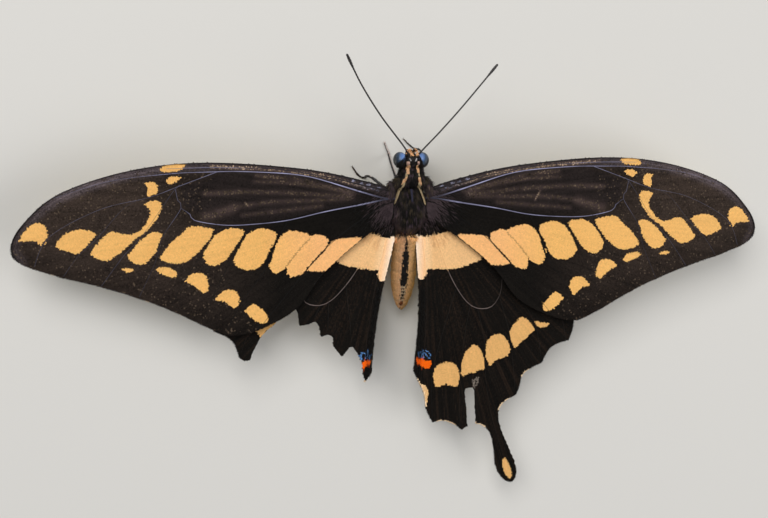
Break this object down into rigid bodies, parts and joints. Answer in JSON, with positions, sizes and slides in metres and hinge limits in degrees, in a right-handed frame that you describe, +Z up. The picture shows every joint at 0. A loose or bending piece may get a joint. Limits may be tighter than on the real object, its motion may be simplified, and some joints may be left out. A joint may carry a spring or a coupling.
{
  "type": "giant swallowtail butterfly model",
  "caption": "Still, life-size giant swallowtail butterfly resting on its feet with wings spread flat; one hindwing torn, the other with its tail.",
  "frame": {"origin": "centre of the model's box in plan, at the level that the feet stand on", "axes": "+X to the butterfly's right, along the wingspan; +Y toward its head; +Z up, out of the upper side of the wings"},
  "size_m": [0.1282, 0.0764, 0.0129],
  "materials": {
    "wing_scales": "velvety black-brown wing scales with rows of warm yellow spots",
    "body_hair": "long soft black-brown hair with two cream lines",
    "abdomen_scales": "flat tan scales with a black line along the back",
    "eye": "smooth, blue-grey compound eye",
    "palp_hair": "cream to orange tufted hair",
    "cuticle": "bare black-brown horny shell of legs, feelers and tongue"
  },
  "bodies": {
    "root": {"head": "body_hair", "prothorax": "body_hair", "thorax": "body_hair", "abdomen": "abdomen_scales", "proboscis": "cuticle", "eye_left": "eye", "eye_right": "eye", "palp_left": "palp_hair", "palp_right": "palp_hair", "antenna_left": "cuticle", "antenna_right": "cuticle", "forewing_left": "wing_scales", "forewing_right": "wing_scales", "hindwing_left": "wing_scales", "hindwing_right": "wing_scales", "foreleg_left": "cuticle", "foreleg_right": "cuticle", "midleg_left": "cuticle", "midleg_right": "cuticle", "hindleg_left": "cuticle", "hindleg_right": "cuticle"}
  },
  "joints": []
}
